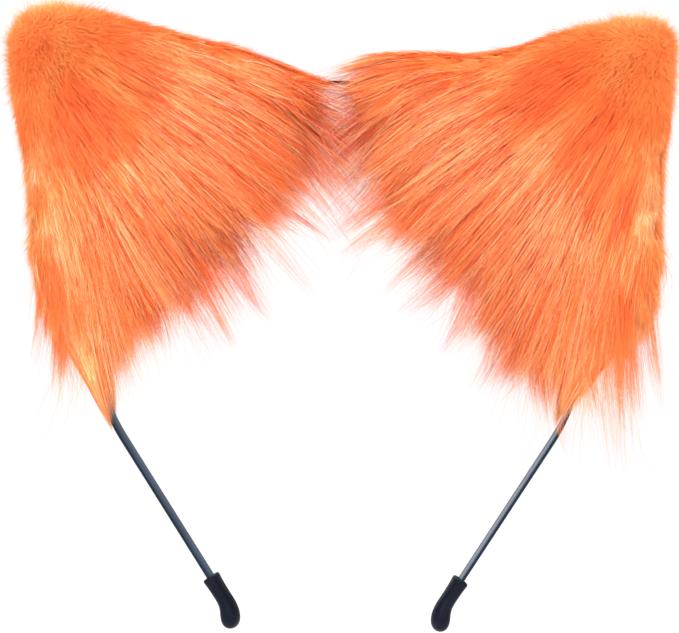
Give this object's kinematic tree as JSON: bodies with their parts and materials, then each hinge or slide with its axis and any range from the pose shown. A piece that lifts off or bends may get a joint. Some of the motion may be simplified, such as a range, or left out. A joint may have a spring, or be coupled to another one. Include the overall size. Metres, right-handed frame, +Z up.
{
  "type": "animal ears headband",
  "caption": "Thin sprung steel hair band with rubber end caps and a pair of large padded orange faux-fur animal ears, whose long pile hangs over the band as a fringe.",
  "frame": {"origin": "middle of the underside of the band's crown, where it rests on the head", "axes": "+X along the width, to the right seen from the front; +Z up; -Y to the front"},
  "size_m": [0.1774, 0.025, 0.1681],
  "materials": {
    "band_steel": "satin",
    "cap_rubber": "matte",
    "ear_fur": "matte",
    "back_fur": "matte",
    "ear_padding": "matte",
    "rim_wire": "satin",
    "felt": "matte",
    "thread": "matte"
  },
  "bodies": {
    "crown": {"band_crown": "band_steel"},
    "left_arm": {"band_left_arm": "band_steel", "left_end_cap": "cap_rubber"},
    "left_ear": {"left_front_fur": "ear_fur", "left_back_fur": "back_fur", "left_ear_padding": "ear_padding", "left_rim_wire": "rim_wire", "left_base_felt": "felt", "left_under_felt": "felt", "left_stitch_1": "thread", "left_stitch_2": "thread", "left_stitch_3": "thread", "left_stitch_4": "thread", "left_stitch_5": "thread"},
    "right_arm": {"band_right_arm": "band_steel", "right_end_cap": "cap_rubber"},
    "right_ear": {"right_front_fur": "ear_fur", "right_back_fur": "back_fur", "right_ear_padding": "ear_padding", "right_rim_wire": "rim_wire", "right_base_felt": "felt", "right_under_felt": "felt", "right_stitch_1": "thread", "right_stitch_2": "thread", "right_stitch_3": "thread", "right_stitch_4": "thread", "right_stitch_5": "thread"}
  },
  "joints": [
    {"name": "left_arm_flex", "type": "hinge", "parent": "crown", "child": "left_arm", "pos_m": [-0.01007, 0, -0.00032], "axis": [0, 1, 0], "range_deg": [-6, 18], "stiffness_Nm_per_rad": 0.6, "springref_deg": 1.23},
    {"name": "left_ear_slide", "type": "hinge", "parent": "left_arm", "child": "left_ear", "pos_m": [0, 0, -0.06747], "axis": [0, -1, 0], "range_deg": [-2, 20]},
    {"name": "right_arm_flex", "type": "hinge", "parent": "crown", "child": "right_arm", "pos_m": [0.01007, 0, -0.00032], "axis": [0, -1, 0], "range_deg": [-6, 18], "stiffness_Nm_per_rad": 0.6, "springref_deg": 1.23},
    {"name": "right_ear_slide", "type": "hinge", "parent": "right_arm", "child": "right_ear", "pos_m": [0, 0, -0.06747], "axis": [0, 1, 0], "range_deg": [-2, 20]}
  ]
}
